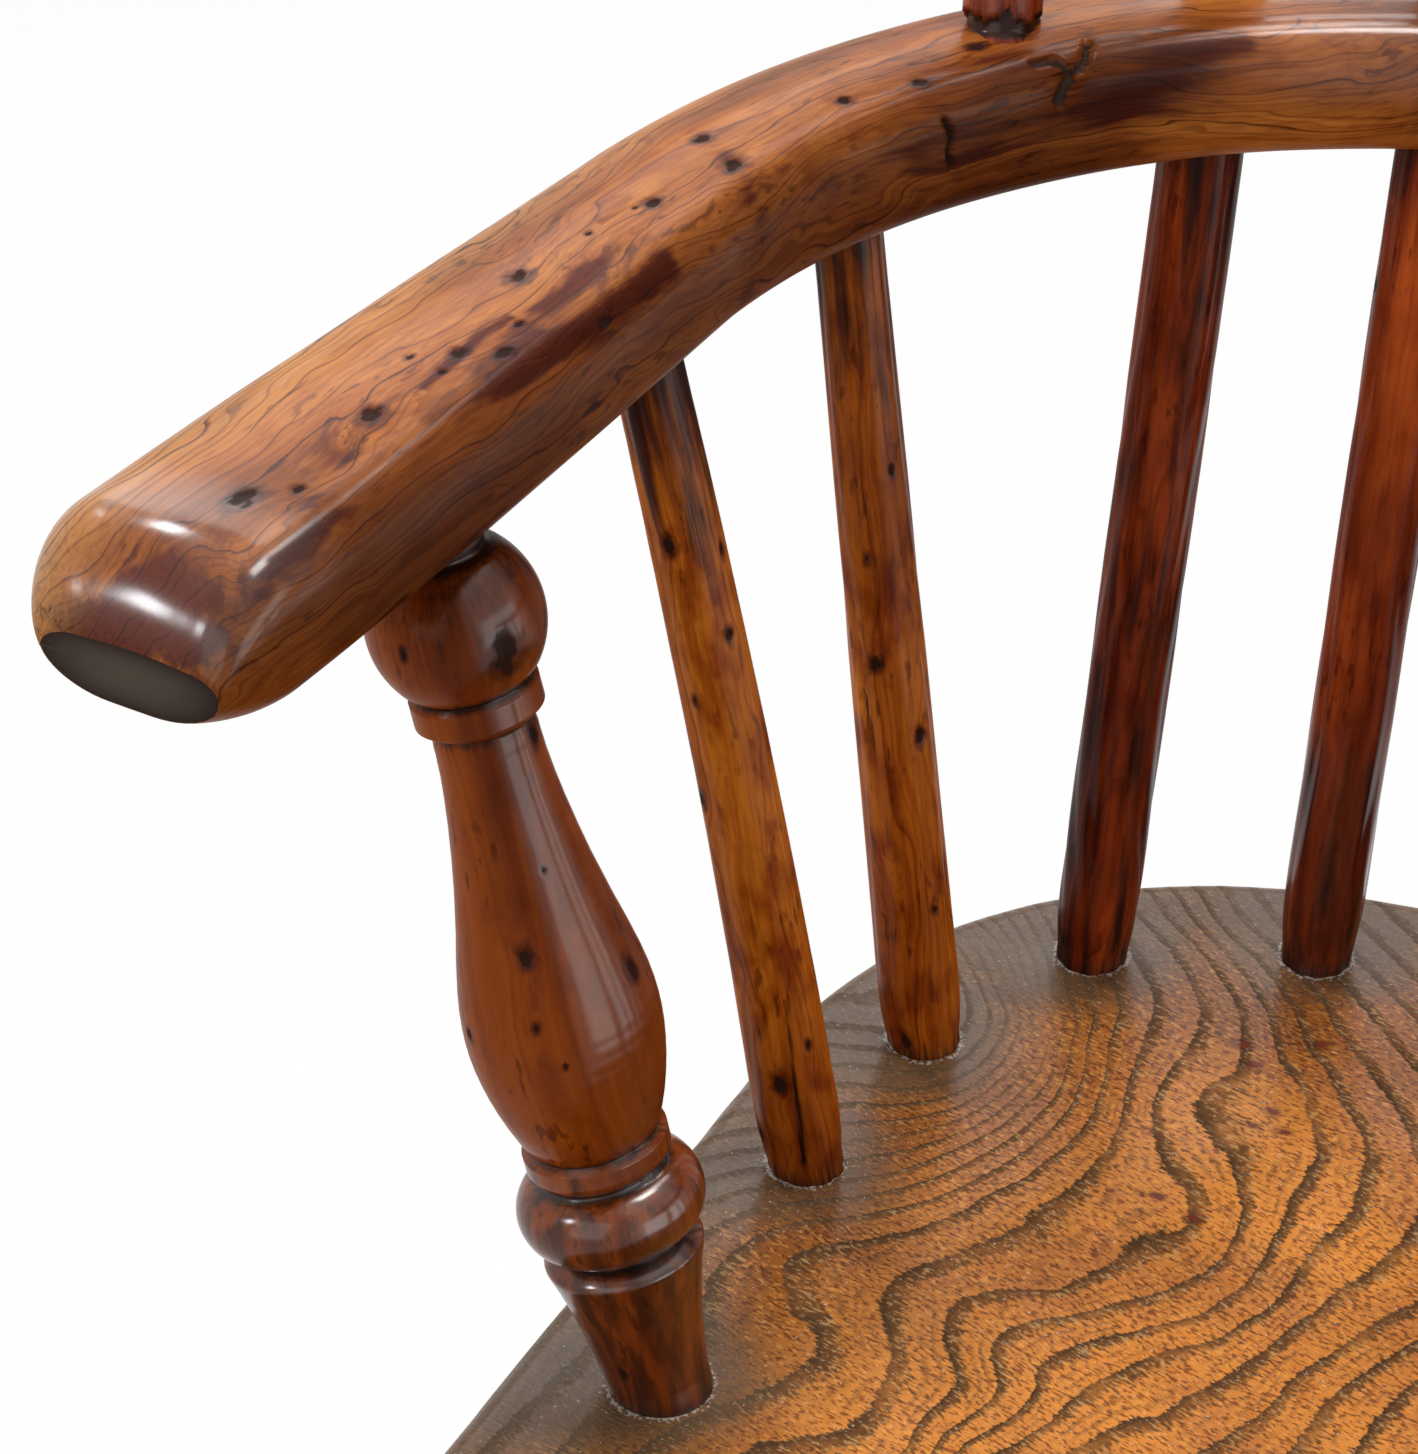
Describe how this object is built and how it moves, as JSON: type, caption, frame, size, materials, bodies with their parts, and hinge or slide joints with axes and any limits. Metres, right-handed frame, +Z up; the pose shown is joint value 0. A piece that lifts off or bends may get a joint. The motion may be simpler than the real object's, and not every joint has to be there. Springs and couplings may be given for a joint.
{
  "type": "windsor armchair",
  "caption": "Child's double-bow Windsor armchair: dished seat, bent arm bow and hoop back joined by sticks, with turned arm posts, turned legs and an H-stretcher.",
  "frame": {"origin": "on the floor, under the middle of the chair's outer box", "axes": "+Z up, -Y the way the sitter faces, +X to the sitter's left"},
  "size_m": [0.3454, 0.3164, 0.6936],
  "materials": {
    "elm_seat": "waxed, worn satin",
    "yew": "waxed, glossy",
    "dark_yew": "waxed, glossy"
  },
  "bodies": {
    "root": {"seat": "elm_seat", "arm_bow": "yew", "hoop": "dark_yew", "back_stick_1": "dark_yew", "back_stick_2": "dark_yew", "back_stick_3": "dark_yew", "back_stick_4": "dark_yew", "back_stick_5": "dark_yew", "arm_stick_back_right": "yew", "arm_stick_front_right": "yew", "arm_post_right": "yew", "arm_stick_back_left": "yew", "arm_stick_front_left": "yew", "arm_post_left": "yew", "leg_back_right": "yew", "leg_front_right": "yew", "side_stretcher_right": "yew", "leg_back_left": "yew", "leg_front_left": "yew", "side_stretcher_left": "yew", "cross_stretcher": "yew"}
  },
  "joints": []
}
